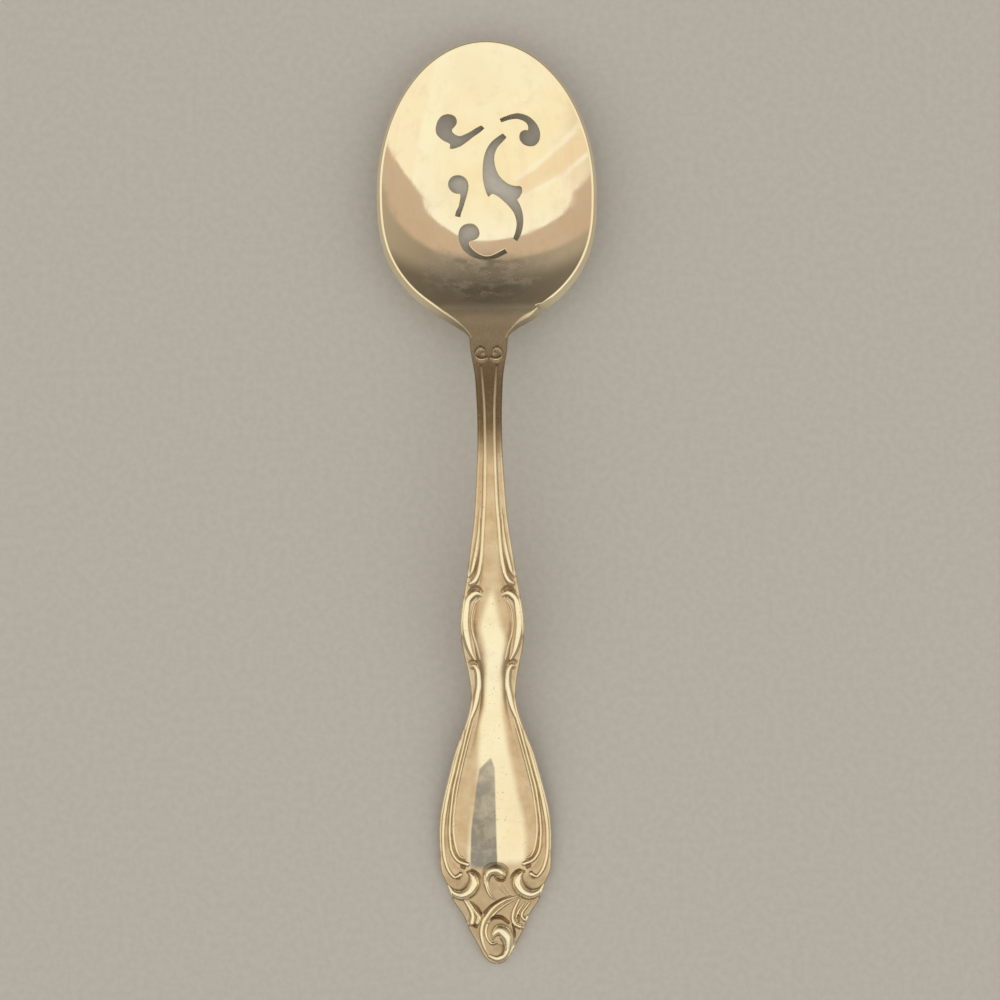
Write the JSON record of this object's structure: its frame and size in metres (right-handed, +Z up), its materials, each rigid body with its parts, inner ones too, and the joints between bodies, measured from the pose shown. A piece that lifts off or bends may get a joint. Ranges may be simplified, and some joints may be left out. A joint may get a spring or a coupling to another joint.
{
  "type": "bonbon spoon",
  "caption": "Serving spoon with a pierced oval bowl and an arched handle with raised threads, C-scrolls, leaves and a curled tip.",
  "frame": {"origin": "middle of the overall box, on the plane that the heel of the bowl and the tip of the handle rest on", "axes": "+Y along the spoon toward the tip of the bowl, +Z up out of the hollow, +X to the right seen from above"},
  "size_m": [0.0358, 0.1518, 0.015],
  "materials": {
    "bowl_metal": "polished, softly scratched",
    "handle_metal": "polished, worn",
    "relief_metal": "polished, tarnish in the recesses"
  },
  "bodies": {
    "root": {"bowl": "bowl_metal", "handle": "handle_metal", "neck_scroll_left": "relief_metal", "neck_scroll_right": "relief_metal", "stem_thread_left": "relief_metal", "stem_thread_right": "relief_metal", "waist_scroll_left": "relief_metal", "waist_scroll_right": "relief_metal", "inner_thread_left": "relief_metal", "inner_thread_right": "relief_metal", "rim_thread_left": "relief_metal", "rim_thread_right": "relief_metal", "cheek_scroll_left": "relief_metal", "cheek_scroll_right": "relief_metal", "crest_curl": "relief_metal", "side_leaf_left": "relief_metal", "side_leaf_right": "relief_metal", "tip_leaf": "relief_metal", "tip_volute": "relief_metal"}
  },
  "joints": []
}
